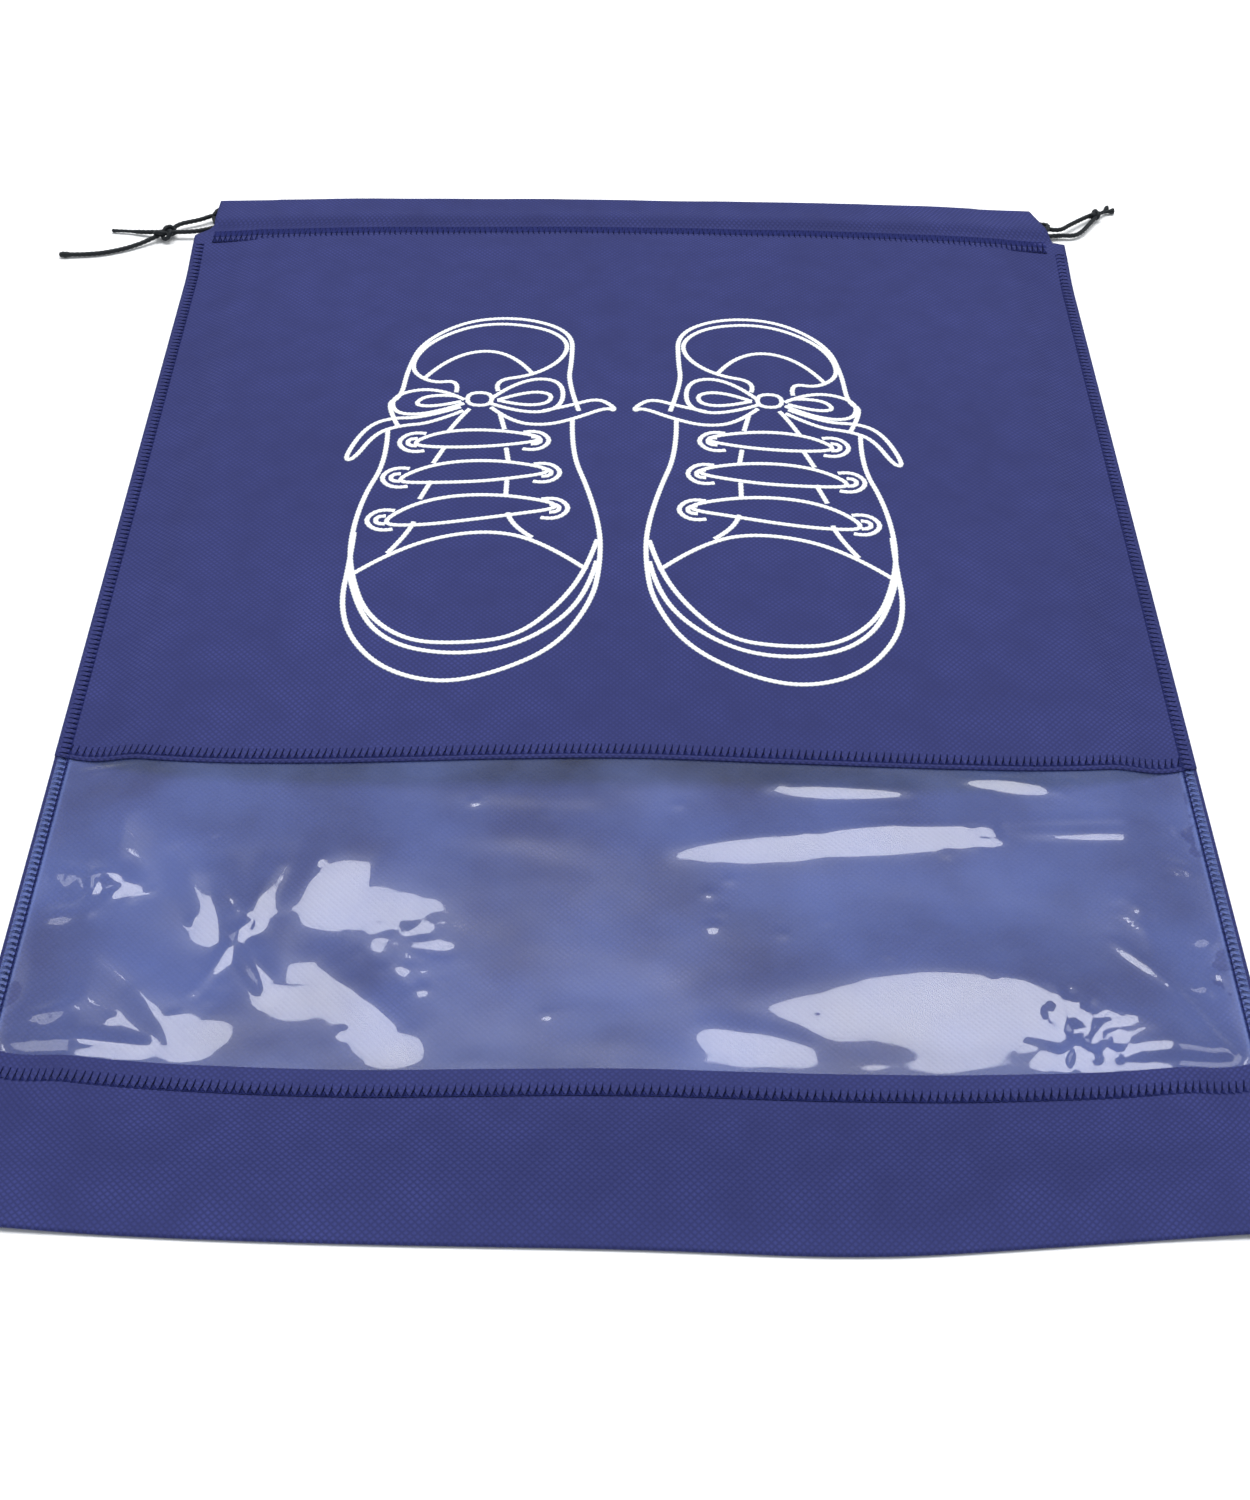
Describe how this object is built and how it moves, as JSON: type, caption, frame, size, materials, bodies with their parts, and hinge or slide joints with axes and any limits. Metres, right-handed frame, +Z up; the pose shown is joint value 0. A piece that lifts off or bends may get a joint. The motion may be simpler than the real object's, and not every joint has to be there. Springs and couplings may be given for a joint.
{
  "type": "drawstring shoe bag",
  "caption": "Flat non-woven shoe bag with a drawstring channel at the mouth, a clear window across the front and a printed pair of shoes.",
  "frame": {"origin": "centre of the cloth's underside, on the surface the bag lies on", "axes": "+X along the bag's width to the right as the print is read, +Y along its length towards the mouth, +Z up out of the printed front"},
  "size_m": [0.3931, 0.4511, 0.0115],
  "materials": {
    "cloth": "navy spunbond non-woven, diamond bonded, matt",
    "film": "clear soft PVC window film, crinkled and glossy",
    "thread": "navy sewing thread, satin",
    "ink": "white screen-printing ink, matt",
    "cord": "near-black twisted polyester cord"
  },
  "bodies": {
    "bag": {"back_panel": "cloth", "front_panel": "cloth", "window_film": "film", "window_top_stitching": "thread", "window_bottom_stitching": "thread", "left_side_stitching": "thread", "right_side_stitching": "thread", "front_hem_stitching": "thread", "back_hem_stitching": "thread", "left_shoe_print": "ink", "right_shoe_print": "ink"},
    "left_drawstring": {"left_cord_front": "cord", "left_cord_back": "cord", "left_knot": "cord"},
    "right_drawstring": {"right_cord_front": "cord", "right_cord_back": "cord", "right_knot": "cord"}
  },
  "joints": [
    {"name": "left_drawstring_pull", "type": "slide", "parent": "bag", "child": "left_drawstring", "axis": [-1, 0, 0], "range_m": [-0.003, 0.003]},
    {"name": "right_drawstring_pull", "type": "slide", "parent": "bag", "child": "right_drawstring", "axis": [1, 0, 0], "range_m": [-0.003, 0.003]}
  ]
}
